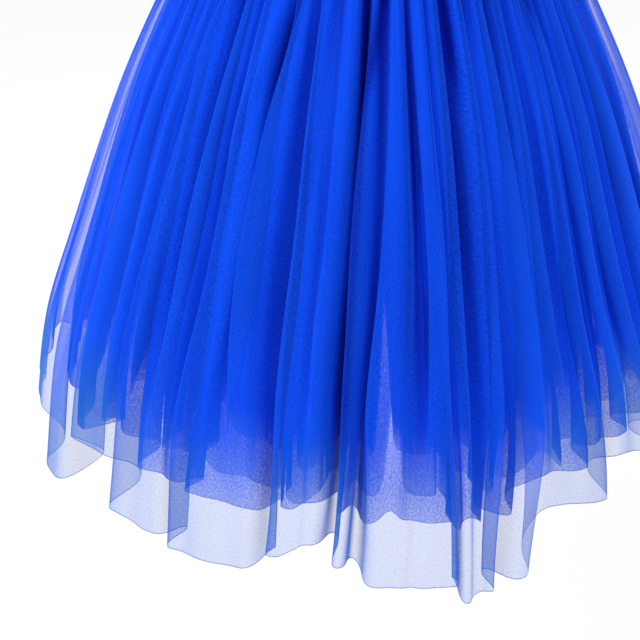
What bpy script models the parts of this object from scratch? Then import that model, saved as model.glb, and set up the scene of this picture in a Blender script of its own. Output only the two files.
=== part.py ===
"""A ballet dress: a plain bodice on two straps, and a gathered skirt of four tulle layers.

Metres, +Z up. The front faces -Y, and the wearer's left is +X. The origin is where the dress is
held up: midway between the tops of its two straps. Azimuths are in degrees round the Z axis,
0 at the centre front and positive towards the wearer's left.
"""

import math

import bmesh
import bpy
import numpy as np

# Driving dimensions, in metres.
WAIST_Z = -0.410  # the waist seam, below the tops of the straps
SKIRT_DROP = 0.690  # height of the outer layer, waist seam to hem, before each fold's own lift
CLOTH_WALL = 0.0015
SEAM_GAP = 0.0003
STRAP_WIDTH = 0.012

# The skirt's outline at its fold crests, from the waist seam down.
SKIRT_PROFILE_COLUMNS = ("drop", "side_radius", "depth_ratio", "fold", "spread")
SKIRT_PROFILE = (
    (0.000, 0.1170, 0.81, 0.0000, 0.0026),
    (0.050, 0.1600, 0.84, 0.0035, 0.0060),
    (0.110, 0.1990, 0.87, 0.0065, 0.0100),
    (0.190, 0.2410, 0.90, 0.0100, 0.0140),
    (0.280, 0.2840, 0.92, 0.0130, 0.0180),
    (0.370, 0.3190, 0.93, 0.0160, 0.0230),
    (0.460, 0.3510, 0.93, 0.0185, 0.0270),
    (0.550, 0.3820, 0.93, 0.0205, 0.0310),
    (0.690, 0.4050, 0.93, 0.0220, 0.0340),
    (0.760, 0.4120, 0.93, 0.0220, 0.0345),
)

# The folds of the front half, from the wearer's right side to the left. A fold's crest starts
# below the waist at one azimuth and reaches the hem at another. Depth is a share of the profile's
# fold. Lift is how much higher than the plain hem its own hem hangs. Hollow and closed are how
# deep the hollow after it is half way down and at the hem: where little of it reaches the hem,
# two folds open into one wide loop.
FOLD_COLUMNS = ("hem_azimuth", "top_azimuth", "depth", "lift", "hollow", "closed")
FRONT_FOLDS = (
    (-89.0, -89.0, 0.75, 0.055, 0.30, 0.40),
    (-80.0, -77.0, 0.75, 0.050, 0.50, 0.65),
    (-63.0, -65.5, 1.15, -0.002, 0.80, 1.00),
    (-56.0, -58.5, 0.85, 0.057, 0.45, 0.20),
    (-49.5, -50.0, 0.80, 0.060, 0.90, 1.00),
    (-44.0, -45.0, 1.20, 0.006, 0.90, 0.15),
    (-37.0, -36.0, 0.80, -0.004, 0.60, 1.00),
    (-33.0, -30.5, 1.05, -0.012, 1.10, 0.05),
    (-20.5, -20.5, 0.85, -0.016, 0.90, 1.00),
    (-16.5, -14.5, 0.80, 0.002, 0.40, 0.15),
    (-9.5, -7.0, 1.10, 0.022, 1.20, 1.00),
    (-5.5, 0.0, 1.20, -0.001, 0.70, 0.90),
    (-1.5, 4.5, 0.80, -0.024, 1.20, 0.10),
    (10.0, 9.0, 0.90, -0.026, 0.60, 1.00),
    (13.0, 13.5, 0.80, -0.048, 1.00, 0.30),
    (16.5, 20.5, 1.10, -0.035, 0.35, 0.80),
    (19.5, 26.5, 1.20, -0.026, 1.10, 0.50),
    (27.0, 31.5, 0.80, 0.045, 0.80, 0.10),
    (37.0, 39.0, 1.00, 0.036, 0.60, 1.00),
    (40.0, 43.5, 0.80, 0.078, 1.00, 0.20),
    (47.0, 51.0, 0.88, 0.070, 0.70, 1.00),
    (56.0, 59.0, 0.85, 0.092, 1.00, 0.30),
    (67.0, 69.0, 1.10, 0.062, 0.70, 1.00),
    (79.0, 80.0, 0.80, 0.068, 0.30, 0.40),
)
HALF_TURN = 180.0
LEAN_POWER = 1.2  # how late on its way down a fold leans over
FOLD_BUNCHING = 0.05  # how far the cloth bunches towards crests and troughs, in fold widths
CREST_REACH = 0.6  # how much of a deeper fold's extra depth stands outside the outline
HOLLOW_POWER = 1.25  # how narrow the hollows are beside the crests, in folds of usual width
USUAL_WIDTH = 6.5  # degrees from crest to crest

# The tulle layers, from the outermost in. Spreads counts the profile's spreads inside the outline.
# Openness is how much of the outermost layer's uneven hollows each one shares.
LAYER_COLUMNS = ("name", "spreads", "shorter", "lift_share", "fold_share", "openness")
LAYERS = (
    ("tulle_outer", 0, 0.000, 1.00, 1.00, 1.00),
    ("tulle_second", 1, 0.042, 0.50, 0.80, 0.80),
    ("tulle_third", 2, 0.055, 0.45, 0.72, 0.70),
    ("tulle_fourth", 3, 0.085, 0.40, 0.64, 0.60),
)
OUTER_ROWS = (0.0, 0.07, 0.22, 0.45, 0.72, 1.0)  # shares of a layer's drop
INNER_ROWS = (0.0, 0.07, 0.45, 1.0)
OUTER_STEPS = 5  # columns to a fold
INNER_STEPS = 4

# Each layer is cut in four widths. A width starts a quarter of the way through its first fold.
WIDTH_COLUMNS = ("name", "first_fold", "last_fold")
WIDTHS = (
    ("front", 5, 20),
    ("left", 20, 29),
    ("back", 29, 44),
    ("right", 44, 53),
)
SEAM_PHASE = 0.25  # on a fold's side, where its wall is straight

# The bodice on a general figure, at heights above the waist seam.
BODICE_COLUMNS = ("height", "half_width", "front_depth", "back_depth")
BODICE_RINGS = (
    (0.000, 0.1170, 0.0950, 0.0950),
    (0.060, 0.1220, 0.0985, 0.0965),
    (0.120, 0.1310, 0.1050, 0.0990),
    (0.170, 0.1385, 0.1150, 0.1020),
    (0.210, 0.1430, 0.1270, 0.1030),
    (0.250, 0.1430, 0.1240, 0.1020),
    (0.300, 0.1380, 0.1120, 0.0980),
)
BUST_FULLNESS = 0.008
BUST_AZIMUTH, BUST_AZIMUTH_SPREAD = 38.0, 24.0
BUST_HEIGHT, BUST_HEIGHT_SPREAD = 0.205, 0.045
# The bodice's upper edge, from the centre front round to the centre back, alike on both sides.
EDGE_COLUMNS = ("azimuth", "height")
UPPER_EDGE = (
    (0.0, 0.232),
    (18.0, 0.240),
    (34.0, 0.272),
    (44.0, 0.272),
    (58.0, 0.246),
    (74.0, 0.220),
    (90.0, 0.212),
    (112.0, 0.214),
    (128.0, 0.226),
    (137.0, 0.236),
    (147.0, 0.236),
    (162.0, 0.204),
    (180.0, 0.188),
)
BODICE_COLUMNS_PER_HALF = 13
BODICE_ROWS = 6
STRAP_FRONT_AZIMUTH, STRAP_BACK_AZIMUTH = 39.0, 142.0
# The strap's way over the shoulder in x, y and z, between its two ends on the bodice.
STRAP_ROUTE = (
    (0.0890, -0.0900, -0.1000),
    (0.0905, -0.0740, -0.0520),
    (0.0920, -0.0400, -0.0120),
    (0.0930, 0.0000, 0.0000),
    (0.0930, 0.0380, -0.0150),
    (0.0915, 0.0680, -0.0620),
    (0.0890, 0.0780, -0.1200),
)
STRAP_STATIONS = 16

TULLE_BLUES = (
    (0.010, 0.090, 0.700),
    (0.008, 0.070, 0.620),
    (0.007, 0.060, 0.560),
    (0.006, 0.050, 0.500),
)
BODICE_BLUE = (0.004, 0.040, 0.520)


def column(table, columns, name):
    return [row[columns.index(name)] for row in table]


def smooth_curve(stations, values, at):
    """The value at a place on a smooth curve through the stations, level at neither end."""
    at = min(max(at, stations[0]), stations[-1])
    i = min(np.searchsorted(stations, at, side="right") - 1, len(stations) - 2)
    slopes = np.gradient(np.asarray(values, float), np.asarray(stations, float))
    width = stations[i + 1] - stations[i]
    t = (at - stations[i]) / width
    rise = values[i + 1] - values[i]
    bend_in = slopes[i] * width - rise
    bend_out = rise - slopes[i + 1] * width
    return values[i] + t * rise + t * (1 - t) * ((1 - t) * bend_in + t * bend_out)


def profile_at(name, drop):
    drops = column(SKIRT_PROFILE, SKIRT_PROFILE_COLUMNS, "drop")
    values = column(SKIRT_PROFILE, SKIRT_PROFILE_COLUMNS, name)
    return smooth_curve(drops, values, drop)


def smooth_step(low, high, at):
    t = min(max((at - low) / (high - low), 0.0), 1.0)
    return t * t * (3 - 2 * t)


def all_folds():
    """The front's folds, and the same folds turned half round for the back."""
    front = [dict(zip(FOLD_COLUMNS, row)) for row in FRONT_FOLDS]
    back = [dict(fold) for fold in front]
    for fold in back:
        fold["hem_azimuth"] += HALF_TURN
        fold["top_azimuth"] += HALF_TURN
    return front + back


FOLDS = all_folds()


def fold_number(number):
    """A fold by its number round the skirt, with azimuths that go on rising past a full turn."""
    turns, index = divmod(number, len(FOLDS))
    fold = dict(FOLDS[index])
    fold["hem_azimuth"] += 2 * HALF_TURN * turns
    fold["top_azimuth"] += 2 * HALF_TURN * turns
    return fold


def skirt_point(layer, place, share):
    """A point of a layer's outer face. Place counts folds round the skirt, share runs down it."""
    number = math.floor(place)
    phase = place - number
    here, after = fold_number(number), fold_number(number + 1)

    def between(name, way):
        return here[name] + (after[name] - here[name]) * way

    bunched = phase + FOLD_BUNCHING * math.sin(4 * math.pi * phase) * share
    top, hem = between("top_azimuth", bunched), between("hem_azimuth", bunched)
    azimuth = math.radians(top + (hem - top) * share**LEAN_POWER)
    half_way = (here["hollow"] - 1) * smooth_step(0.05, 0.35, share)
    at_hem = (here["closed"] - here["hollow"]) * smooth_step(0.50, 0.97, share)
    hollow = 1 + layer["openness"] * (half_way + at_hem)
    width = after["hem_azimuth"] - here["hem_azimuth"]
    power = HOLLOW_POWER * min(max(width / USUAL_WIDTH, 0.8), 2.0)
    hollow *= (0.5 - 0.5 * math.cos(2 * math.pi * phase)) ** power
    soft_phase = smooth_step(0.0, 1.0, phase)
    lift = between("lift", soft_phase) * layer["lift_share"]
    depth = between("depth", soft_phase)
    drop = share * (SKIRT_DROP - layer["shorter"] - lift)
    fold = profile_at("fold", drop) * layer["fold_share"]
    radius = profile_at("side_radius", drop) - layer["spreads"] * profile_at("spread", drop)
    radius += fold * (depth - 1) * CREST_REACH
    radius -= 2 * fold * depth * hollow
    return (
        radius * math.sin(azimuth),
        -radius * profile_at("depth_ratio", drop) * math.cos(azimuth),
        WAIST_Z - drop,
    )


def seam_point(layer, number, steps, share, way):
    """The edge of a width at a seam, half a gap from it on the straight wall between columns."""
    before = number + (math.ceil(SEAM_PHASE * steps) - 1) / steps
    after = number + (math.floor(SEAM_PHASE * steps) + 1) / steps
    start = np.array(skirt_point(layer, before, share))
    chord = np.array(skirt_point(layer, after, share)) - start
    return start + chord * (0.5 + way * SEAM_GAP / 2 / np.linalg.norm(chord))


def width_row(layer, width, steps, share):
    """One row of a width's points, from seam to seam."""
    first, last = width["first_fold"], width["last_fold"]
    start = first * steps + math.floor(SEAM_PHASE * steps) + 1
    end = last * steps + math.ceil(SEAM_PHASE * steps) - 1
    columns = [skirt_point(layer, i / steps, share) for i in range(start, end + 1)]
    first_edge = seam_point(layer, first, steps, share, 1)
    last_edge = seam_point(layer, last, steps, share, -1)
    return [first_edge, *columns, last_edge]


def sheet_mesh(name, rows):
    """An open sheet through rows of points, each row as long as the next."""
    mesh = bpy.data.meshes.new(name)
    surface = bmesh.new()
    grid = [[surface.verts.new(point) for point in row] for row in rows]
    for upper, lower in zip(grid, grid[1:]):
        for i in range(len(upper) - 1):
            surface.faces.new((upper[i], lower[i], lower[i + 1], upper[i + 1]))
    surface.to_mesh(mesh)
    surface.free()
    mesh.shade_smooth()
    return mesh


def cloth_material(name, colour, roughness):
    material = bpy.data.materials.new(name)
    material.use_nodes = True
    shader = material.node_tree.nodes["Principled BSDF"]
    shader.inputs["Base Color"].default_value = (*colour, 1.0)
    shader.inputs["Roughness"].default_value = roughness
    shader.inputs["Metallic"].default_value = 0.0
    return material


def add_cloth(collection, name, mesh, material, mirrored=False):
    """A named piece: its sheet, mirrored if it is half a piece, with the wall laid on inside."""
    piece = bpy.data.objects.new(name, mesh)
    collection.objects.link(piece)
    mesh.materials.append(material)
    if mirrored:
        mirror = piece.modifiers.new("mirror", "MIRROR")
        mirror.use_axis = (True, False, False)
        mirror.merge_threshold = 0.0001
    wall = piece.modifiers.new("wall", "SOLIDIFY")
    wall.thickness = CLOTH_WALL
    wall.offset = -1.0
    return piece


def add_skirt(collection):
    for layer_row, colour in zip(LAYERS, TULLE_BLUES):
        layer = dict(zip(LAYER_COLUMNS, layer_row))
        outermost = layer["spreads"] == 0
        steps = OUTER_STEPS if outermost else INNER_STEPS
        shares = OUTER_ROWS if outermost else INNER_ROWS
        for width_values in WIDTHS:
            width = dict(zip(WIDTH_COLUMNS, width_values))
            name = f"{layer['name']}_{width['name']}"
            rows = [width_row(layer, width, steps, share) for share in shares]
            material = cloth_material(name, colour, 0.75)
            add_cloth(collection, name, sheet_mesh(name, rows), material)


def bodice_ring(name, height):
    heights = column(BODICE_RINGS, BODICE_COLUMNS, "height")
    return smooth_curve(heights, column(BODICE_RINGS, BODICE_COLUMNS, name), height)


def upper_edge(azimuth):
    azimuths = column(UPPER_EDGE, EDGE_COLUMNS, "azimuth")
    return smooth_curve(azimuths, column(UPPER_EDGE, EDGE_COLUMNS, "height"), abs(azimuth))


def bodice_point(azimuth, height):
    """A point of the bodice's outer face."""
    front = abs(azimuth) < 90.0
    depth = bodice_ring("front_depth" if front else "back_depth", height)
    angle = math.radians(azimuth)
    x = bodice_ring("half_width", height) * math.sin(angle)
    y = -depth * math.cos(angle)
    aside = (abs(azimuth) - BUST_AZIMUTH) / BUST_AZIMUTH_SPREAD
    above = (height - BUST_HEIGHT) / BUST_HEIGHT_SPREAD
    fullness = BUST_FULLNESS * math.exp(-aside * aside - above * above)
    return (
        x + fullness * math.sin(angle),
        y - fullness * math.cos(angle),
        WAIST_Z + SEAM_GAP + height,
    )


def add_bodice(collection):
    """Half of each panel, from its middle to the side seam, mirrored to the wearer's right."""
    seam = math.degrees(SEAM_GAP / 2 / BODICE_RINGS[0][BODICE_COLUMNS.index("half_width")])
    for name, start, end in (
        ("bodice_front", 0.0, 90.0 - seam),
        ("bodice_back", 90.0 + seam, 180.0),
    ):
        azimuths = np.linspace(start, end, BODICE_COLUMNS_PER_HALF + 1)
        rows = []
        for up in np.linspace(1.0, 0.0, BODICE_ROWS + 1):
            rows.append([bodice_point(azimuth, up * upper_edge(azimuth)) for azimuth in azimuths])
        if start == 0.0:
            for row in rows:
                row[0] = (0.0, *row[0][1:])
        else:
            for row in rows:
                row[-1] = (0.0, *row[-1][1:])
        material = cloth_material(name, BODICE_BLUE, 0.6)
        add_cloth(collection, name, sheet_mesh(name, rows), material, mirrored=True)


def strap_line():
    """Centre points of the strap, from its front end on the bodice to its back end."""
    ends = []
    for azimuth in (STRAP_FRONT_AZIMUTH, STRAP_BACK_AZIMUTH):
        ends.append(bodice_point(azimuth, upper_edge(azimuth) + SEAM_GAP))
    route = np.array([ends[0], *STRAP_ROUTE, ends[1]])
    steps = np.linalg.norm(np.diff(route, axis=0), axis=1)
    along = np.concatenate([[0.0], np.cumsum(steps)])
    centres = []
    for at in np.linspace(0.0, along[-1], STRAP_STATIONS + 1):
        centres.append([smooth_curve(along, route[:, axis], at) for axis in range(3)])
    return np.array(centres)


def add_straps(collection):
    centres = strap_line()
    tangents = np.gradient(centres, axis=0)
    turns = []
    for azimuth in (STRAP_FRONT_AZIMUTH, STRAP_BACK_AZIMUTH):
        angle = math.radians(azimuth)
        turns.append(np.array([math.cos(angle), math.sin(angle), 0.0]))
    turns[1] = -turns[1]
    for name, side in (("strap_left", 1.0), ("strap_right", -1.0)):
        rows = []
        for i, (centre, tangent) in enumerate(zip(centres, tangents)):
            share = i / STRAP_STATIONS
            on_shoulder = math.sin(math.pi * share)
            end = turns[0] if share < 0.5 else turns[1]
            across = end * (1 - on_shoulder) + np.array([1.0, 0.0, 0.0]) * on_shoulder
            across -= tangent * np.dot(across, tangent) / np.dot(tangent, tangent)
            across *= STRAP_WIDTH / 2 / np.linalg.norm(across)
            row = [centre - across, centre, centre + across]
            row = [(side * point[0], point[1], point[2]) for point in row]
            rows.append(row if side < 0 else row[::-1])
        material = cloth_material(name, BODICE_BLUE, 0.6)
        add_cloth(collection, name, sheet_mesh(name, rows), material)


def main():
    for item in list(bpy.data.objects):
        bpy.data.objects.remove(item)
    collection = bpy.data.collections.new("ballet_dress")
    bpy.context.scene.collection.children.link(collection)
    add_bodice(collection)
    add_straps(collection)
    add_skirt(collection)


main()
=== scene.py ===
"""The looks of a ballet dress: gathered layers of soft royal blue tulle under a knit bodice.

Metres, in the frame of the solids: +Z up, the front faces -Y, and the wearer's left is +X.
Azimuths are in degrees round Z, 0 at the centre front and positive towards the wearer's left.
"""

import math

import bpy
import numpy as np
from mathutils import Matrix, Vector


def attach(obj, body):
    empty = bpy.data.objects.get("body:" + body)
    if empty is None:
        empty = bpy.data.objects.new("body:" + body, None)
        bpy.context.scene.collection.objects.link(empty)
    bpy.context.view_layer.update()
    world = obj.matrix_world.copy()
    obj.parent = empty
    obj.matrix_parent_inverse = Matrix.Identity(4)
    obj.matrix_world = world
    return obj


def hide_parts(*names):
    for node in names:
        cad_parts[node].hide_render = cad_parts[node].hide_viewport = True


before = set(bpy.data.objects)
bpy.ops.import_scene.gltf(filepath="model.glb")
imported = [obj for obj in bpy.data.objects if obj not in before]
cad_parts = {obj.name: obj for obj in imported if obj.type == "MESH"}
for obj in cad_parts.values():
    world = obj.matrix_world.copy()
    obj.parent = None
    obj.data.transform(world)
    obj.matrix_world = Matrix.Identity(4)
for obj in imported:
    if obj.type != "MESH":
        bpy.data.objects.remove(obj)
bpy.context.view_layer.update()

# ---------------------------------------------------------------- sizes shared with the solids
WAIST_Z = -0.410
SKIRT_DROP = 0.690  # from the waist seam to the outermost layer's plain hem
SEAM_GAP = 0.0003
STRAP_WIDTH = 0.012

# The skirt's outline at its fold crests, from the waist seam down.
SKIRT_PROFILE_COLUMNS = ("drop", "side_radius", "depth_ratio", "fold", "spread")
SKIRT_PROFILE = (
    (0.000, 0.1170, 0.81, 0.0000, 0.0026),
    (0.050, 0.1600, 0.84, 0.0035, 0.0060),
    (0.110, 0.1990, 0.87, 0.0065, 0.0100),
    (0.190, 0.2410, 0.90, 0.0100, 0.0140),
    (0.280, 0.2840, 0.92, 0.0130, 0.0180),
    (0.370, 0.3190, 0.93, 0.0160, 0.0230),
    (0.460, 0.3510, 0.93, 0.0185, 0.0270),
    (0.550, 0.3820, 0.93, 0.0205, 0.0310),
    (0.690, 0.4050, 0.93, 0.0220, 0.0340),
    (0.760, 0.4120, 0.93, 0.0220, 0.0345),
)

# The folds of the front half, from the wearer's right side to the left. The first six columns are
# the solids'. Depth is a share of the profile's fold, and lift is how much higher than the plain
# hem a fold's own hem hangs. Hollow and closed are how deep the hollow after it is half way down
# and at the hem: where little of it reaches the hem, two folds open into one wide loop. Lean is
# how far aside a crest stands half way down, and kick how far its foot swings, in degrees.
FOLD_COLUMNS = (
    "hem_azimuth", "top_azimuth", "depth", "lift", "hollow", "closed", "lean", "kick",
)
FRONT_FOLDS = (
    (-89.0, -89.0, 0.75, 0.055, 0.30, 0.40, -0.5, 0.0),
    (-80.0, -77.0, 0.75, 0.050, 0.50, 0.65, 1.0, 0.0),
    (-63.0, -65.5, 1.15, -0.002, 0.80, 1.00, -0.8, 0.5),
    (-56.0, -58.5, 0.85, 0.057, 0.45, 0.20, -1.9, 0.0),
    (-49.5, -50.0, 0.80, 0.060, 0.90, 1.00, -1.8, 0.5),
    (-44.0, -45.0, 1.20, 0.006, 0.90, 0.15, -2.3, -0.5),
    (-37.0, -36.0, 0.80, -0.004, 0.60, 1.00, -0.5, 0.5),
    (-33.0, -30.5, 1.05, -0.012, 1.10, 0.05, -0.5, -0.5),
    (-20.5, -20.5, 0.85, -0.016, 0.90, 1.00, -1.9, 0.5),
    (-16.5, -14.5, 0.80, 0.002, 0.40, 0.15, 0.3, -0.3),
    (-9.5, -7.0, 1.10, 0.022, 1.20, 1.00, -0.9, -0.3),
    (-5.5, 0.0, 1.20, -0.001, 0.70, 0.90, -1.7, -1.2),
    (-1.5, 4.5, 0.80, -0.024, 1.20, 0.10, -0.9, 0.0),
    (10.0, 9.0, 0.90, -0.026, 0.60, 1.00, 1.0, 0.5),
    (13.0, 13.5, 0.80, -0.048, 1.00, 0.30, -0.1, 0.0),
    (16.5, 20.5, 1.10, -0.035, 0.35, 0.80, 1.8, 0.0),
    (19.5, 26.5, 1.20, -0.026, 1.10, 0.50, 2.0, 0.0),
    (27.0, 31.5, 0.80, 0.045, 0.80, 0.10, 0.2, 0.0),
    (37.0, 39.0, 1.00, 0.036, 0.60, 1.00, -2.5, 0.5),
    (40.0, 43.5, 0.80, 0.078, 1.00, 0.20, -0.4, 0.0),
    (47.0, 51.0, 0.88, 0.070, 0.70, 1.00, -1.9, 0.5),
    (56.0, 59.0, 0.85, 0.092, 1.00, 0.30, -1.0, 0.0),
    (67.0, 69.0, 1.10, 0.062, 0.70, 1.00, -1.5, 0.0),
    (79.0, 80.0, 0.80, 0.068, 0.30, 0.40, -1.0, 0.0),
)
HALF_TURN = 180.0
LEAN_POWER = 1.2  # how late on its way down a fold leans over
CREST_REACH = 0.6  # how much of a deeper fold's depth stands out past the profile
SEAM_PHASE = 0.25  # how far past a fold's crest the seams between widths lie

# Each width's name, its first fold and the one after its last, counted round the skirt.
WIDTHS = (("front", 5, 20), ("left", 20, 29), ("back", 29, 44), ("right", 44, 53))

BODICE_COLUMNS = ("height", "half_width", "front_depth", "back_depth")
BODICE_RINGS = (
    (0.000, 0.1170, 0.0950, 0.0950),
    (0.060, 0.1220, 0.0985, 0.0965),
    (0.120, 0.1310, 0.1050, 0.0990),
    (0.170, 0.1385, 0.1150, 0.1020),
    (0.210, 0.1430, 0.1270, 0.1030),
    (0.250, 0.1430, 0.1240, 0.1020),
    (0.300, 0.1380, 0.1120, 0.0980),
)
BUST_FULLNESS = 0.008
BUST_AZIMUTH, BUST_AZIMUTH_SPREAD = 38.0, 24.0
BUST_HEIGHT, BUST_HEIGHT_SPREAD = 0.205, 0.045
# The bodice's upper edge, from the centre front round to the centre back.
EDGE_COLUMNS = ("azimuth", "height")
UPPER_EDGE = (
    (0.0, 0.232),
    (18.0, 0.240),
    (34.0, 0.272),
    (44.0, 0.272),
    (58.0, 0.246),
    (74.0, 0.220),
    (90.0, 0.212),
    (112.0, 0.214),
    (128.0, 0.226),
    (137.0, 0.236),
    (147.0, 0.236),
    (162.0, 0.204),
    (180.0, 0.188),
)
STRAP_FRONT_AZIMUTH, STRAP_BACK_AZIMUTH = 39.0, 142.0
STRAP_ROUTE = (
    (0.0890, -0.0900, -0.1000),
    (0.0905, -0.0740, -0.0520),
    (0.0920, -0.0400, -0.0120),
    (0.0930, 0.0000, 0.0000),
    (0.0930, 0.0380, -0.0150),
    (0.0915, 0.0680, -0.0620),
    (0.0890, 0.0780, -0.1200),
)

# ---------------------------------------------------------------- how the fine folds fall
# Each layer: how many of the profile's spreads it lies in from the crests, how much shorter it
# is, its shares of the folds' lift and depth, how its crests widen, bunch and lie over, its
# shares of the uneven hollows, ripples and notches, its faces across a fold and down the skirt,
# and the seed of its random draws.
LAYER_COLUMNS = (
    "name", "spreads", "shorter", "lift_share", "fold_share", "crest_width", "bunching",
    "skew", "openness", "ripple", "notched", "columns", "rows", "seed",
)
LAYERS = (
    ("outer", 0, 0.000, 1.00, 1.00, 0.110, 0.085, 0.17, 1.00, 0.025, 0.0, 30, 84, 11),
    ("second", 1, 0.042, 0.50, 0.80, 0.060, 0.030, 0.15, 0.80, 0.045, 0.1, 22, 60, 23),
    ("third", 2, 0.055, 0.45, 0.72, 0.040, 0.020, 0.13, 0.70, 0.045, 0.8, 22, 60, 37),
    ("fourth", 3, 0.085, 0.40, 0.64, 0.030, 0.010, 0.12, 0.60, 0.045, 1.0, 22, 56, 41),
)
# Each layer's tulle: how dense one ply is, how uneven, how far up from its hem it hangs alone,
# how far up it thins out and to what share of its density, how much denser its cut edge is, its
# blue where plies lie close and light bounces among them, and the size that its front and back
# widths are cut to.
TULLE_COLUMNS = (
    "opacity", "grain", "alone", "thinned", "thinnest", "cut_edge", "blue", "cut_waist",
    "cut_hem", "cut_length", "slot",
)
BLUE_OUTER = (0.004, 0.096, 0.84)
BLUE_INNER = (0.002, 0.074, 0.94)
TULLES = {
    "outer": (0.31, 0.15, 0.130, 0.01, 1.00, 2.4, BLUE_OUTER, 0.46, 1.22, 0.76, "tulle_outer"),
    "second": (0.65, 0.26, 0.110, 0.03, 0.80, 1.4, BLUE_INNER, 0.40, 1.00, 0.70, "tulle_inner"),
    "third": (0.80, 0.16, 0.120, 0.05, 0.55, 1.0, BLUE_INNER, 0.38, 0.90, 0.69, "tulle_inner"),
    "fourth": (0.96, 0.04, 0.110, 0.03, 0.45, 1.0, BLUE_INNER, 0.34, 0.80, 0.66, "tulle_inner"),
}
# The tulle's painted shade deep in the folds. Its paler, greyer blue where one ply hangs alone is
# painted in place of the light that bounces among close plies and deepens the blue.
BLUE_SHADED = (0.001, 0.010, 0.38)
BLUE_ALONE = (0.010, 0.120, 0.56)
INNER_ALONE = 0.5  # how near the inner layers' hems come to that blue
NET_SCALE, CLOUD_SCALE = 430.0, 9.0  # of the net's grain and of its uneven colour
NET_TURN, NET_TURN_STEP = 0.4, 0.7  # how each layer's net lies, in radians
HOLLOW_POWER = 1.25  # how narrow the hollows are beside the crests, in folds of usual width
USUAL_WIDTH = 6.5  # degrees from crest to crest
LOOP_BULGE = 0.006  # how far an open loop swells out at the hem
SWAY = 0.0055  # how far the folds wander aside on their way down
SWERVE = 0.9  # how far each fold's foot bends to and fro, in degrees
GATHERS = 0.0007  # height of the small gathers under the waist seam
LYING_OVER_FROM = 5.0  # azimuth at the front from where the folds lie over to either side
# Painted shade in the tulle's colour, darkest deep in the hollows of the folds:
DEEPEST_FOLD = 1.2  # depth of the folds whose hollows are darkest
SHADE_POWER = 1.5  # how fast a hollow darkens inwards
SHADE_LOST = 0.8  # how much of that shade is gone at the hem

# Small uneven waves in the cloth, each over some of the drop and in some patches round it.
RIPPLE_COUNT = 16
RIPPLE_DRIFT = 2.2  # how far a wave's crests drift aside on its way down, in radians of it
RIPPLE_REACH = (0.18, 0.42)
RIPPLE_PATCHES = (3, 9)
SOFT_WAVES, GATHER_WAVES, WANDER_WAVES = (30, 80), (150, 230), (14, 44)  # round the skirt

# Where the hems of the inner layers part and rise to a point, so the outer one hangs alone, or
# hang a little lower.
NOTCH_COLUMNS = ("azimuth", "width", "rise")
FRONT_NOTCHES = (
    (-71.5, 3.0, 0.090),
    (-60.0, 3.0, 0.070),
    (-52.5, 2.0, 0.120),
    (-35.5, 2.6, 0.025),
    (-14.5, 4.0, -0.035),
    (1.6, 1.5, 0.150),
    (15.5, 1.6, 0.035),
    (26.0, 4.0, -0.028),
    (37.0, 3.0, -0.028),
    (61.0, 2.6, 0.070),
)

# Soft troughs within the panels, placed one by one. A ridge has a depth below zero. The last eight
# start near the waist, and all but one of them are short tucks.
CREASE_COLUMNS = (
    "from_azimuth", "to_azimuth", "from_share", "to_share", "width", "depth",
)
FRONT_CREASES = (
    (-74.0, -76.0, 0.10, 0.80, 1.6, 0.0030),
    (-62.0, -65.5, 0.20, 0.95, 1.3, 0.0035),
    (-54.5, -55.5, 0.05, 0.62, 1.5, 0.0030),
    (-47.0, -46.0, 0.30, 0.98, 1.2, 0.0040),
    (-39.5, -39.5, 0.02, 0.55, 1.2, 0.0030),
    (-33.0, -31.5, 0.25, 1.05, 1.3, 0.0040),
    (-25.5, -26.0, 0.05, 0.70, 1.0, -0.0025),
    (-18.5, -20.5, 0.15, 0.95, 1.3, 0.0035),
    (-11.0, -15.5, 0.02, 0.60, 1.2, 0.0040),
    (-3.5, -8.5, 0.20, 0.90, 1.0, -0.0030),
    (2.5, -1.5, 0.04, 0.50, 1.0, 0.0030),
    (7.5, 4.0, 0.60, 1.10, 1.3, 0.0045),
    (11.0, 7.5, 0.10, 0.66, 0.9, -0.0025),
    (16.0, 11.5, 0.05, 0.80, 1.1, 0.0035),
    (23.5, 18.5, 0.04, 0.75, 1.4, 0.0030),
    (26.0, 22.5, 0.55, 1.05, 1.2, -0.0035),
    (31.5, 24.5, 0.10, 0.90, 1.2, 0.0040),
    (38.5, 30.0, 0.20, 1.05, 1.4, 0.0035),
    (44.0, 36.0, 0.05, 0.70, 1.1, -0.0030),
    (57.0, 49.5, 0.10, 1.00, 1.7, 0.0040),
    (66.0, 60.5, 0.05, 0.75, 1.8, 0.0035),
    (75.0, 72.0, 0.30, 1.05, 1.9, 0.0040),
    (-40.0, -50.0, 0.06, 0.42, 1.2, -0.0055),
    (-21.0, -34.0, 0.04, 0.46, 1.3, -0.0065),
    (-17.5, -28.0, 0.04, 0.42, 1.5, 0.0090),
    (-3.0, -7.8, 0.12, 1.05, 1.7, 0.0090),
    (3.0, -3.0, 0.04, 0.38, 1.4, 0.0100),
    (17.0, 18.0, 0.04, 0.36, 1.1, 0.0095),
    (31.0, 27.0, 0.04, 0.52, 1.1, 0.0090),
    (45.0, 42.0, 0.04, 0.34, 1.4, 0.0110),
)
# A crease darkens the tulle's colour as painted shade, as the hollows of the folds do.
CREASE_SHADE = 0.014  # depth of a crease that is as dark as the deepest hollow

# ---------------------------------------------------------------- the bodice's fine form
KNIT_THICKNESS = 0.0009
KNIT_COLUMNS, KNIT_ROWS = 150, 56  # of each panel
KNIT_ROW_POWER = 0.8  # rows lie closer together near the upper edge
KNIT_DARK, KNIT_LIGHT = (0.003, 0.034, 0.46), (0.006, 0.070, 0.80)
TURNED_EDGE = 0.009  # depth of the turned upper edge
TURNED_EDGE_RISE, TURNED_EDGE_STEP = 0.00045, 0.0012
SIDE_SEAM_DIP, SIDE_SEAM_WIDTH = 0.0007, 1.2
PUCKER, PUCKER_WIDTH, PUCKER_STEP = 0.0004, 4.0, 0.011  # beside the side seams
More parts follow.
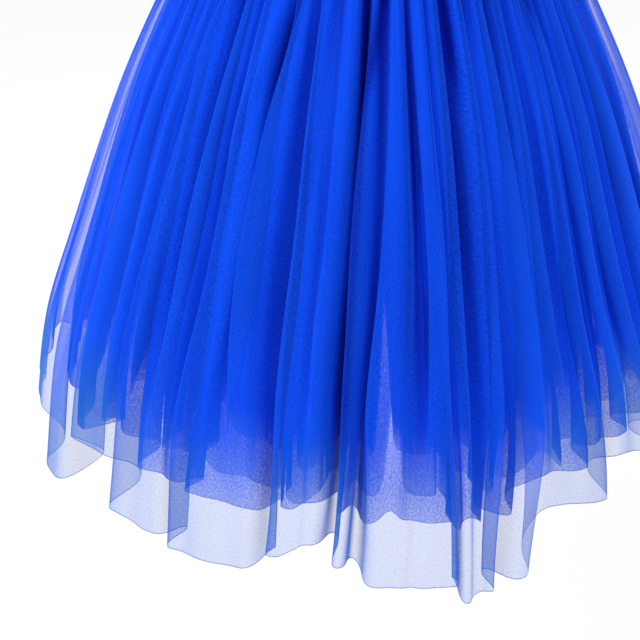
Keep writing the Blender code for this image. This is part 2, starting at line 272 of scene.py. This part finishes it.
# Soft drag lines across the bodice: height above the waist and depth of each.
DRAG_LINES = (
    (0.012, 0.0011),
    (0.034, 0.0009),
    (0.061, 0.0007),
    (0.104, 0.0005),
    (0.158, 0.0007),
)
DRAG_SWAY, DRAG_WIDTH = 0.006, 0.0075
STRAP_STATIONS, STRAP_COLUMNS = 90, 8
STRAP_EDGE_RISE = 0.00035

THREAD_DARK, THREAD_LIGHT = (0.003, 0.040, 0.52), (0.010, 0.095, 0.90)
STITCH, STITCH_STEP, THREAD_RADIUS, THREAD_SIDES = 0.0022, 0.0031, 0.00022, 6
# A stitch's thickness and how high it stands along its length, in radii of the thread.
STITCH_COLUMNS = ("along", "size", "rise")
STITCH_SHAPE = (
    (0.00, 0.25, -0.60),
    (0.22, 0.95, 0.35),
    (0.50, 1.10, 0.60),
    (0.78, 0.95, 0.35),
    (1.00, 0.25, -0.60),
)
EDGE_STITCH_ROWS = (("topstitch_upper_edge", 0.0070), ("topstitch_upper_edge_second", 0.0035))
WAIST_STITCH_HEIGHT = 0.0035

# ---------------------------------------------------------------- the camera and the stage
PICTURE = 640
CAMERA_PLACE = (-0.062, -2.0, -0.100)
CAMERA_TILT = 24.0  # degrees below level
CAMERA_FOCAL = 1850.0  # in pixels of the picture
SENSOR = 36.0
FLOOR_Z, FLOOR_HALF_SIDE = -1.62, 12.0
FLOOR_GREY, FLOOR_GLOW = (0.25, 0.25, 0.25), 0.74
ROOM_LIGHT = 0.62
LIT_PLACE = (0.0, 0.0, -0.75)
# Each soft light's name, place, side and power.
LIGHTS = (
    ("key", (-2.8, -2.1, 1.3), 1.3, 120.0),
    ("fill", (2.6, -2.4, 0.6), 2.4, 62.0),
    ("behind", (0.4, 2.8, 1.4), 2.2, 30.0),
)


def column(table, columns, name):
    return np.array([row[columns.index(name)] for row in table], float)


def smooth_curve(stations, values, at):
    """Values at places on a smooth curve through the stations."""
    at = np.clip(at, stations[0], stations[-1])
    i = np.clip(np.searchsorted(stations, at, side="right") - 1, 0, len(stations) - 2)
    slopes = np.gradient(values, stations)
    width = stations[i + 1] - stations[i]
    t = (at - stations[i]) / width
    rise = values[i + 1] - values[i]
    bend_in = slopes[i] * width - rise
    bend_out = rise - slopes[i + 1] * width
    return values[i] + t * rise + t * (1 - t) * ((1 - t) * bend_in + t * bend_out)


def profile_at(name, drop):
    drops = column(SKIRT_PROFILE, SKIRT_PROFILE_COLUMNS, "drop")
    return smooth_curve(drops, column(SKIRT_PROFILE, SKIRT_PROFILE_COLUMNS, name), drop)


def smooth_step(low, high, at):
    t = np.clip((at - low) / (high - low), 0.0, 1.0)
    return t * t * (3 - 2 * t)


# ---------------------------------------------------------------- the skirt's surface
FOLD_COUNT = 2 * len(FRONT_FOLDS)


def fold_values(name, number):
    """A fold's value by its number round the skirt. Azimuths go on rising past a full turn."""
    values = column(FRONT_FOLDS, FOLD_COLUMNS, name)
    half_turns = np.floor_divide(number, len(FRONT_FOLDS))
    found = values[np.mod(number, len(FRONT_FOLDS))]
    return found + HALF_TURN * half_turns if name.endswith("azimuth") else found


def ripples(draw, angle, shares, waves, low, high):
    """Small uneven waves round the skirt, about 1 high, each with its own drift and reach."""
    total = np.zeros(np.broadcast(angle, shares).shape)
    for _ in range(RIPPLE_COUNT):
        count = draw.integers(*waves)
        start, drift = draw.uniform(0, 2 * math.pi), draw.uniform(-RIPPLE_DRIFT, RIPPLE_DRIFT)
        middle, reach = draw.uniform(low, high), draw.uniform(*RIPPLE_REACH)
        patch, patch_start = draw.integers(*RIPPLE_PATCHES), draw.uniform(0, 2 * math.pi)
        here = 0.5 + 0.5 * np.cos(patch * angle + patch_start + drift * shares)
        window = np.exp(-(((shares - middle) / reach) ** 2))
        total += window * here * np.cos(count * angle + start + drift * shares)
    return total / 2.0


def bell(azimuth, middle, width):
    """1 at a middle azimuth and at the one across the skirt, and less away from them."""
    aside = np.mod(azimuth - middle + HALF_TURN / 2, HALF_TURN) - HALF_TURN / 2
    return np.exp(-((aside / width) ** 2))


def creases(azimuth, shares):
    """How far the soft troughs within the panels lie in, at azimuths in degrees."""
    total = np.zeros(azimuth.shape)
    for values in FRONT_CREASES:
        crease = dict(zip(CREASE_COLUMNS, values))
        way = (shares - crease["from_share"]) / (crease["to_share"] - crease["from_share"])
        run = smooth_step(0.0, 0.22, way) * (1 - smooth_step(0.72, 1.0, way))
        middle = crease["from_azimuth"] + (crease["to_azimuth"] - crease["from_azimuth"]) * way
        total += crease["depth"] * run * bell(azimuth, middle, crease["width"])
    return total


def notches(azimuth):
    """How far the inner hems are drawn up."""
    total = np.zeros(azimuth.shape)
    for values in FRONT_NOTCHES:
        notch = dict(zip(NOTCH_COLUMNS, values))
        total += notch["rise"] * bell(azimuth, notch["azimuth"], notch["width"])
    return total


def skirt_surface(layer, places, shares):
    """Points of a layer's cloth, and the painted shade of its colour in the folds: places count
    folds round the skirt, shares run down it.
    """
    places, shares = places[None, :], shares[:, None]
    draw = np.random.default_rng(layer["seed"])
    number = np.floor(places).astype(int)
    phase = places - number
    soft_phase = phase * phase * (3 - 2 * phase)
    crest = 0.5 + 0.5 * np.cos(2 * math.pi * phase)
    width = fold_values("hem_azimuth", number + 1) - fold_values("hem_azimuth", number)
    hollow = (1.0 - crest) ** (HOLLOW_POWER * np.clip(width / USUAL_WIDTH, 0.8, 2.0))

    def between(name, way):
        here, after = fold_values(name, number), fold_values(name, number + 1)
        return here + (after - here) * way

    nearest = np.where(phase < 0.5, number, number + 1)
    swerves = np.random.default_rng(layer["seed"] + 1).uniform(-1.0, 1.0, (2, FOLD_COUNT))
    bend, start = swerves[:, np.mod(nearest, FOLD_COUNT)]
    swerve = SWERVE * bend * np.sin((11 + 4 * start) * shares + 5 * start) * crest

    # Each fold lies over the next one away from the centre front and from the centre back.
    past_centre = fold_values("hem_azimuth", number) - LYING_OVER_FROM
    past_centre = np.mod(past_centre, 2 * HALF_TURN)
    turned = np.where(past_centre < HALF_TURN, -1.0, 1.0)
    half_way = (fold_values("hollow", number) - 1) * smooth_step(0.05, 0.35, shares)
    at_hem = fold_values("closed", number) - fold_values("hollow", number)
    closed = 1 + layer["openness"] * (half_way + at_hem * smooth_step(0.50, 0.97, shares))
    grown = smooth_step(0.04, 0.55, shares)
    spaced = phase + closed * (
        layer["crest_width"] * np.sin(2 * math.pi * phase) * grown
        + layer["bunching"] * np.sin(4 * math.pi * phase) * smooth_step(0.04, 0.50, shares)
        + layer["skew"] * turned * (1 - crest) * grown
    )
    top, hem = between("top_azimuth", spaced), between("hem_azimuth", spaced)
    azimuth = top + (hem - top) * shares**LEAN_POWER
    lean = fold_values("lean", nearest) * crest * grown
    azimuth = azimuth + lean * (1 - 0.85 * smooth_step(0.70, 1.0, shares))
    azimuth = azimuth + between("kick", soft_phase) * smooth_step(0.62, 1.0, shares)
    azimuth = azimuth + swerve * smooth_step(0.35, 0.8, shares)

    raised = between("lift", soft_phase) * layer["lift_share"] + layer["notched"] * notches(azimuth)
    drop = shares * (SKIRT_DROP - layer["shorter"] - raised)
    fold = profile_at("fold", drop) * layer["fold_share"]
    spread = profile_at("spread", drop)
    depth = between("depth", soft_phase)
    radius = profile_at("side_radius", drop) - layer["spreads"] * spread
    radius = radius + fold * (depth - 1) * CREST_REACH
    radius = radius - 2 * fold * depth * closed * hollow
    radius = radius + LOOP_BULGE * np.maximum(1 - closed, 0.0) * hollow
    creased = creases(azimuth, shares) * smooth_step(0.0, 0.25, shares)
    radius = radius - creased
    angle = np.radians(azimuth)
    waves = ripples(draw, angle, shares, SOFT_WAVES, 0.15, 1.0)
    radius = radius + layer["ripple"] * spread * waves * smooth_step(0.03, 0.3, shares)
    gathers = ripples(draw, angle, shares, GATHER_WAVES, 0.0, 0.25)
    radius = radius + GATHERS * gathers * smooth_step(0.0, 0.04, shares)
    wander = ripples(draw, 2 * math.pi * places / FOLD_COUNT, shares, WANDER_WAVES, 0.3, 1.0)
    angle = angle + SWAY * wander * grown / radius
    depth_ratio = profile_at("depth_ratio", drop)
    points = [radius * np.sin(angle), -radius * depth_ratio * np.cos(angle), WAIST_Z - drop]

    # Painted shade for the tulle's colour: dark deep in the hollows of the folds and in the
    # creases, less so near the hem.
    within = closed * hollow * depth / DEEPEST_FOLD + creased / CREASE_SHADE
    within = np.clip(within, 0.0, 1.0) ** SHADE_POWER
    within = within * (1 - SHADE_LOST * smooth_step(0.72, 0.95, shares))
    return np.stack(points, axis=-1), within


def sheet_object(name, grid, within=None):
    """An open sheet through a grid of points. Its UV map runs along the cloth in metres, and
    upwards from the last row. Within is the painted shade of each point in the folds, from 0 to 1."""
    rows, columns = grid.shape[:2]
    index = np.arange(rows * columns).reshape(rows, columns)
    faces = np.stack(
        [index[:-1, :-1], index[1:, :-1], index[1:, 1:], index[:-1, 1:]], axis=-1
    ).reshape(-1, 4)
    mesh = bpy.data.meshes.new(name)
    mesh.from_pydata(grid.reshape(-1, 3).tolist(), [], faces.tolist())
    across = np.linalg.norm(np.diff(grid[-1], axis=0), axis=1)
    across = np.concatenate([[0.0], np.cumsum(across)])
    down = np.linalg.norm(np.diff(grid, axis=0), axis=2).mean(axis=1)
    up = np.concatenate([np.cumsum(down[::-1])[::-1], [0.0]])
    cloth = np.stack(np.broadcast_arrays(across[None, :], up[:, None]), axis=-1).reshape(-1, 2)
    layer = mesh.uv_layers.new(name="cloth")
    layer.data.foreach_set("uv", cloth[faces.reshape(-1)].astype(np.float32).reshape(-1))
    # The painted shade in the folds goes on the mesh, for the tulle's colour to read.
    if within is not None:
        painted_shades = mesh.attributes.new("painted_fold_shade", "FLOAT", "POINT")
        painted_shades.data.foreach_set("value", within.astype(np.float32).reshape(-1))
    mesh.shade_smooth()
    piece = bpy.data.objects.new(name, mesh)
    bpy.context.scene.collection.objects.link(piece)
    return piece


# ---------------------------------------------------------------- materials
class Nodes:
    """A short way to build a material's node tree."""

    def __init__(self, name):
        self.material = bpy.data.materials.new(name)
        self.material.use_nodes = True
        self.tree = self.material.node_tree
        self.shader = self.tree.nodes["Principled BSDF"]

    def add(self, kind, inputs=None, **settings):
        node = self.tree.nodes.new(kind)
        for key, value in settings.items():
            setattr(node, key, value)
        for key, value in (inputs or {}).items():
            self.feed(node.inputs[key], value)
        return node

    def feed(self, socket, value):
        if isinstance(value, bpy.types.NodeSocket):
            self.tree.links.new(value, socket)
        else:
            socket.default_value = value

    def math(self, operation, a, b=0.0, clamp=False):
        node = self.add("ShaderNodeMath", {0: a, 1: b}, operation=operation, use_clamp=clamp)
        return node.outputs[0]

    def noise(self, vector, scale, detail):
        node = self.add("ShaderNodeTexNoise", {"Vector": vector, "Scale": scale, "Detail": detail})
        return node.outputs[0]

    def span(self, value, low, high, to_low, to_high):
        inputs = {"Value": value, "From Min": low, "From Max": high}
        inputs.update({"To Min": to_low, "To Max": to_high})
        return self.add("ShaderNodeMapRange", inputs).outputs[0]

    def mix(self, way, a, b):
        node = self.add("ShaderNodeMix", data_type="RGBA")
        self.feed(node.inputs["Factor"], way)
        for socket, colour in ((node.inputs[6], a), (node.inputs[7], b)):
            plain = not isinstance(colour, bpy.types.NodeSocket)
            self.feed(socket, (*colour, 1.0) if plain else colour)
        return node.outputs[2]


def tulle_material(name, tulle, net_turn):
    """Fine tulle. Its net closes up as it turns edge on, as 1 - (1 - opacity) ** (1 / cosine)."""
    nodes = Nodes(name)
    place = nodes.add("ShaderNodeUVMap", uv_map="cloth").outputs[0]
    turned = nodes.add("ShaderNodeMapping", {"Vector": place, "Rotation": (0.0, 0.0, net_turn)})
    fine = nodes.noise(turned.outputs[0], NET_SCALE, 1.0)
    cloudy = nodes.noise(turned.outputs[0], CLOUD_SCALE, 1.0)
    up = nodes.add("ShaderNodeSeparateXYZ", {"Vector": place}).outputs["Y"]
    facing = nodes.add("ShaderNodeLayerWeight", {"Blend": 0.5}).outputs["Facing"]
    least = nodes.span(up, 0.10, 0.25, 0.12, 0.30)
    cosine = nodes.math("MAXIMUM", nodes.math("SUBTRACT", 1.0, facing), least)
    grain = nodes.span(fine, 0.3, 0.7, 1 - tulle["grain"], 1 + tulle["grain"])
    cut_edge = nodes.span(up, 0.0006, 0.0015, tulle["cut_edge"], 1.0)
    thinned = nodes.span(up, 0.0, tulle["thinned"], tulle["thinnest"], 1.0)
    dense = nodes.math("MULTIPLY", nodes.math("MULTIPLY", cut_edge, thinned), tulle["opacity"])
    thread = nodes.math("MULTIPLY", grain, dense)
    gap = nodes.math("SUBTRACT", 1.0, thread, clamp=True)
    through = nodes.math("POWER", gap, nodes.math("DIVIDE", 1.0, cosine))
    alpha = nodes.math("SUBTRACT", 1.0, through, clamp=True)
    nodes.feed(nodes.shader.inputs["Alpha"], alpha)
    # Painted shade: the colour is darkened towards BLUE_SHADED deep in the hollows of the folds and
    # in the creases. The net's speckle and the cloudy drift are the cloth's own uneven tone.
    within = nodes.add("ShaderNodeAttribute", attribute_name="painted_fold_shade").outputs["Fac"]
    speckle = nodes.span(fine, 0.3, 0.7, 0.26, -0.10)
    drift = nodes.math("ADD", nodes.span(cloudy, 0.3, 0.7, -0.04, 0.10), speckle)
    painted_shade_and_tone = nodes.math("ADD", nodes.math("MULTIPLY", within, 1.10), drift, clamp=True)
    # Painted light: a paler, greyer blue near each hem, where one ply hangs alone, stands in for
    # the light that bounces among close plies and deepens the blue higher up.
    palest = 1.0 if tulle["slot"] == "tulle_outer" else INNER_ALONE
    alone = nodes.span(up, 0.4 * tulle["alone"], tulle["alone"], palest, 0.0)
    blue_with_painted_shade = nodes.mix(painted_shade_and_tone, tulle["blue"], BLUE_SHADED)
    nodes.feed(nodes.shader.inputs["Base Color"], nodes.mix(alone, blue_with_painted_shade, BLUE_ALONE))
    nodes.shader.inputs["Roughness"].default_value = 0.75
    nodes.shader.inputs["Specular IOR Level"].default_value = 0.06
    nodes.shader.inputs["Sheen Weight"].default_value = 0.16
    nodes.shader.inputs["Sheen Roughness"].default_value = 0.35
    nodes.shader.inputs["Sheen Tint"].default_value = (0.20, 0.45, 1.0, 1.0)
    return nodes.material


def knit_material():
    """Matt stretch knit: fine ribs of stitches along the cloth, a little uneven in colour."""
    nodes = Nodes("bodice_knit")
    place = nodes.add("ShaderNodeUVMap", uv_map="cloth").outputs[0]
    ribs = nodes.add(
        "ShaderNodeTexWave",
        {"Vector": place, "Scale": 260.0, "Distortion": 0.6, "Detail": 1.0, "Detail Scale": 2.0},
        bands_direction="X",
    ).outputs["Fac"]
    courses = nodes.add(
        "ShaderNodeTexWave",
        {"Vector": place, "Scale": 190.0, "Distortion": 0.4},
        bands_direction="Y",
    ).outputs["Fac"]
    stitches = nodes.math("MULTIPLY", ribs, courses)
    cloudy = nodes.noise(place, 14.0, 4.0)
    tone = nodes.math("MULTIPLY", nodes.math("ADD", stitches, cloudy), 0.5)
    colour = nodes.mix(tone, KNIT_DARK, KNIT_LIGHT)
    nodes.feed(nodes.shader.inputs["Base Color"], colour)
    nodes.shader.inputs["Roughness"].default_value = 0.62
    nodes.shader.inputs["Specular IOR Level"].default_value = 0.2
    nodes.shader.inputs["Sheen Weight"].default_value = 0.12
    nodes.shader.inputs["Sheen Tint"].default_value = (0.05, 0.3, 1.0, 1.0)
    bump = nodes.add("ShaderNodeBump", {"Height": stitches, "Strength": 0.35, "Distance": 0.0004})
    nodes.feed(nodes.shader.inputs["Normal"], bump.outputs[0])
    return nodes.material


def thread_material():
    """Sewing thread: slightly shinier than the knit, twisted along its length."""
    nodes = Nodes("sewing_thread")
    place = nodes.add("ShaderNodeTexCoord").outputs["Object"]
    twist = nodes.noise(place, 1800.0, 1.0)
    colour = nodes.mix(twist, THREAD_DARK, THREAD_LIGHT)
    nodes.feed(nodes.shader.inputs["Base Color"], colour)
    nodes.shader.inputs["Roughness"].default_value = 0.45
    return nodes.material


# ---------------------------------------------------------------- the skirt
def add_skirt():
    for number, values in enumerate(LAYERS):
        layer = dict(zip(LAYER_COLUMNS, values))
        tulle = dict(zip(TULLE_COLUMNS, TULLES[layer["name"]]))
        net_turn = NET_TURN + NET_TURN_STEP * number
        material = tulle_material(f"tulle_{layer['name']}", tulle, net_turn)
        shares = np.linspace(0.0, 1.0, layer["rows"] + 1)
        for name, first, last in WIDTHS:
            places = np.linspace(first, last, (last - first) * layer["columns"] + 1) + SEAM_PHASE
            points, within = skirt_surface(layer, places, shares)
            piece = sheet_object(f"{layer['name']}_tulle_{name}", points, within)
            piece.data.materials.append(material)
            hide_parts(f"tulle_{layer['name']}_{name}")
            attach(piece, "root")


# ---------------------------------------------------------------- the bodice and its straps
def upper_edge(azimuth):
    """Height of the bodice's upper edge above the waist, at azimuths from -180 to 180."""
    azimuths = column(UPPER_EDGE, EDGE_COLUMNS, "azimuth")
    return smooth_curve(azimuths, column(UPPER_EDGE, EDGE_COLUMNS, "height"), np.abs(azimuth))


def bodice_points(azimuth, height):
    """Points of the bodice's plain outer face, and which way they face."""
    heights = column(BODICE_RINGS, BODICE_COLUMNS, "height")

    def ring(name):
        return smooth_curve(heights, column(BODICE_RINGS, BODICE_COLUMNS, name), height)

    depth = np.where(np.abs(azimuth) < 90.0, ring("front_depth"), ring("back_depth"))
    angle = np.radians(azimuth)
    aside = (np.abs(azimuth) - BUST_AZIMUTH) / BUST_AZIMUTH_SPREAD
    above = (height - BUST_HEIGHT) / BUST_HEIGHT_SPREAD
    fullness = BUST_FULLNESS * np.exp(-aside * aside - above * above)
    x = (ring("half_width") + fullness) * np.sin(angle)
    y = -(depth + fullness) * np.cos(angle)
    outwards = np.stack(np.broadcast_arrays(np.sin(angle), -np.cos(angle), 0 * height), axis=-1)
    place = np.stack(np.broadcast_arrays(x, y, WAIST_Z + SEAM_GAP + height), axis=-1)
    return place, outwards


def bodice_relief(azimuth, height):
    """How far the worn cloth stands off the plain form."""
    edge = upper_edge(azimuth)
    from_edge = TURNED_EDGE - (edge - height)
    turned = smooth_step(0.0, TURNED_EDGE_STEP, from_edge) * TURNED_EDGE_RISE
    from_seam = np.abs(np.abs(azimuth) - HALF_TURN / 2)
    seam = SIDE_SEAM_DIP * np.exp(-((from_seam / SIDE_SEAM_WIDTH) ** 2))
    pucker = PUCKER * np.exp(-((from_seam / PUCKER_WIDTH) ** 2))
    relief = turned - seam + pucker * np.sin(height * 2 * math.pi / PUCKER_STEP)
    angle = np.radians(azimuth)
    for number, (line, depth) in enumerate(DRAG_LINES):
        wave = line + DRAG_SWAY * np.sin(angle * (2 + number % 2) + 1.3 * number)
        reach = 0.45 + 0.55 * np.cos(angle * (1 + number % 3) + 0.8 * number) ** 2
        relief = relief - depth * reach * np.exp(-(((height - wave) / DRAG_WIDTH) ** 2))
    return relief


def thicken(piece):
    """Knit has a wall inwards from its outer face."""
    wall = piece.modifiers.new("wall", "SOLIDIFY")
    wall.thickness = KNIT_THICKNESS
    wall.offset = -1.0


def add_bodice(material):
    seam = math.degrees(SEAM_GAP / 2 / BODICE_RINGS[0][BODICE_COLUMNS.index("half_width")])
    for name, start, end in (
        ("bodice_front", -90.0 + seam, 90.0 - seam),
        ("bodice_back", 90.0 + seam, 270.0 - seam),
    ):
        azimuth = np.linspace(start, end, KNIT_COLUMNS + 1)[None, :]
        azimuth = np.where(azimuth > HALF_TURN, azimuth - 2 * HALF_TURN, azimuth)
        up = np.linspace(1.0, 0.0, KNIT_ROWS + 1)[:, None] ** KNIT_ROW_POWER
        height = up * upper_edge(azimuth)
        place, outwards = bodice_points(azimuth, height)
        place = place + outwards * bodice_relief(azimuth, height)[..., None]
        piece = sheet_object(f"knit_{name}", place)
        piece.data.materials.append(material)
        thicken(piece)
        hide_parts(name)
        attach(piece, "root")


def strap_line(stations):
    """Centre points of the wearer's left strap, from its front end to its back end."""
    ends = []
    for azimuth in (STRAP_FRONT_AZIMUTH, STRAP_BACK_AZIMUTH):
        place, outwards = bodice_points(azimuth, upper_edge(azimuth) + SEAM_GAP)
        ends.append(place)
    route = np.array([ends[0], *STRAP_ROUTE, ends[1]])
    along = np.concatenate([[0.0], np.cumsum(np.linalg.norm(np.diff(route, axis=0), axis=1))])
    at = np.linspace(0.0, along[-1], stations + 1)
    return np.stack([smooth_curve(along, route[:, axis], at) for axis in range(3)], axis=-1)


def add_straps(material):
    centres = strap_line(STRAP_STATIONS)
    tangents = np.gradient(centres, axis=0)
    tangents /= np.linalg.norm(tangents, axis=1)[:, None]
    share = np.linspace(0.0, 1.0, STRAP_STATIONS + 1)
    turns = []
    for azimuth in (STRAP_FRONT_AZIMUTH, STRAP_BACK_AZIMUTH):
        angle = math.radians(azimuth)
        turns.append(np.array([math.cos(angle), math.sin(angle), 0.0]))
    ends = np.where(share[:, None] < 0.5, turns[0], -turns[1])
    on_shoulder = np.sin(math.pi * share)[:, None]
    across = ends * (1 - on_shoulder) + np.array([1.0, 0.0, 0.0]) * on_shoulder
    across -= tangents * (across * tangents).sum(axis=1)[:, None]
    across /= np.linalg.norm(across, axis=1)[:, None]
    outwards = np.cross(tangents, across)
    width_at = np.linspace(-1.0, 1.0, STRAP_COLUMNS + 1)
    # Both long edges are turned under, so they stand a little higher than the middle.
    crown = STRAP_EDGE_RISE * (width_at**2) * (1 - width_at**6)
    for name, side in (("left", 1.0), ("right", -1.0)):
        grid = centres[:, None] + across[:, None] * (width_at * STRAP_WIDTH / 2)[None, :, None]
        grid = grid - outwards[:, None] * crown[None, :, None]
        grid = grid * np.array([side, 1.0, 1.0])
        grid = grid if side < 0 else grid[:, ::-1]
        piece = sheet_object(f"knit_strap_{name}", grid)
        piece.data.materials.append(material)
        thicken(piece)
        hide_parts(f"strap_{name}")
        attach(piece, "root")


def add_stitches(name, material, points, outwards):
    """One row of topstitching along points that are close together on the cloth."""
    steps = np.linalg.norm(np.diff(points, axis=0), axis=1)
    along = np.concatenate([[0.0], np.cumsum(steps)])
    count = int(along[-1] / STITCH_STEP)
    verts, faces = [], []
    sides = THREAD_SIDES
    sizes = THREAD_RADIUS * column(STITCH_SHAPE, STITCH_COLUMNS, "size")
    rise = THREAD_RADIUS * column(STITCH_SHAPE, STITCH_COLUMNS, "rise")
    within_stitch = STITCH * column(STITCH_SHAPE, STITCH_COLUMNS, "along")
    for number in range(count):
        start = (number + 0.5) * along[-1] / count - STITCH / 2
        at = start + within_stitch
        line = np.stack([np.interp(at, along, points[:, axis]) for axis in range(3)], axis=-1)
        up = np.stack([np.interp(at, along, outwards[:, axis]) for axis in range(3)], axis=-1)
        tangent = line[-1] - line[0]
        aside = np.cross(up, tangent / np.linalg.norm(tangent))
        first = len(verts)
        for i in range(len(at)):
            for corner in range(sides):
                angle = 2 * math.pi * corner / sides
                offset = aside[i] * math.cos(angle) * sizes[i] + up[i] * math.sin(angle) * sizes[i]
                verts.append(tuple(line[i] + up[i] * rise[i] + offset))
        for i in range(len(at) - 1):
            for corner in range(sides):
                a, b = first + i * sides + corner, first + i * sides + (corner + 1) % sides
                faces.append((a, b, b + sides, a + sides))
        faces.append(tuple(range(first + sides - 1, first - 1, -1)))
        last = first + (len(at) - 1) * sides
        faces.append(tuple(range(last, last + sides)))
    mesh = bpy.data.meshes.new(name)
    mesh.from_pydata(verts, [], faces)
    mesh.shade_smooth()
    mesh.materials.append(material)
    piece = bpy.data.objects.new(name, mesh)
    bpy.context.scene.collection.objects.link(piece)
    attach(piece, "root")


def add_sewing():
    material = thread_material()
    azimuth = np.linspace(-179.9, 179.9, 1800)
    rows = [(name, upper_edge(azimuth) - down) for name, down in EDGE_STITCH_ROWS]
    rows.append(("topstitch_waist", np.full(azimuth.shape, WAIST_STITCH_HEIGHT)))
    for name, height in rows:
        place, outwards = bodice_points(azimuth, height)
        place = place + outwards * bodice_relief(azimuth, height)[:, None]
        add_stitches(name, material, place, outwards)


# ---------------------------------------------------------------- the stage
def floor_material():
    """A pale floor that glows a little, so the cloth's shadow on it stays faint."""
    nodes = Nodes("pale_floor")
    nodes.shader.inputs["Base Color"].default_value = (*FLOOR_GREY, 1.0)
    nodes.shader.inputs["Roughness"].default_value = 0.9
    nodes.shader.inputs["Emission Color"].default_value = (1.0, 1.0, 0.985, 1.0)
    nodes.shader.inputs["Emission Strength"].default_value = FLOOR_GLOW
    return nodes.material


def add_area_light(name, place, size, power):
    light = bpy.data.lights.new(name, "AREA")
    light.energy = power
    light.size = size
    lamp = bpy.data.objects.new(name, light)
    lamp.location = place
    lamp.rotation_euler = (Vector(LIT_PLACE) - Vector(place)).to_track_quat("-Z", "Y").to_euler()
    bpy.context.scene.collection.objects.link(lamp)


def add_stage():
    floor_mesh = bpy.data.meshes.new("floor")
    side = FLOOR_HALF_SIDE
    outline = ((-side, -side), (side, -side), (side, side), (-side, side))
    floor_mesh.from_pydata([(x, y, FLOOR_Z) for x, y in outline], [], [(0, 1, 2, 3)])
    floor = bpy.data.objects.new("floor", floor_mesh)
    bpy.context.scene.collection.objects.link(floor)
    floor.data.materials.append(floor_material())
    world = bpy.data.worlds.new("studio")
    world.use_nodes = True
    background = world.node_tree.nodes["Background"]
    background.inputs["Color"].default_value = (1.0, 1.0, 0.99, 1.0)
    background.inputs["Strength"].default_value = ROOM_LIGHT
    bpy.context.scene.world = world
    for light in LIGHTS:
        add_area_light(*light)


def add_camera():
    data = bpy.data.cameras.new("camera")
    data.sensor_width = SENSOR
    data.lens = CAMERA_FOCAL * SENSOR / PICTURE
    camera = bpy.data.objects.new("camera", data)
    camera.location = CAMERA_PLACE
    camera.rotation_euler = (math.radians(90.0 - CAMERA_TILT), 0.0, 0.0)
    bpy.context.scene.collection.objects.link(camera)
    bpy.context.scene.camera = camera
    bpy.context.scene.view_settings.view_transform = "Standard"


def main():
    add_camera()
    add_stage()
    add_skirt()
    knit = knit_material()
    add_bodice(knit)
    add_straps(knit)
    add_sewing()


main()
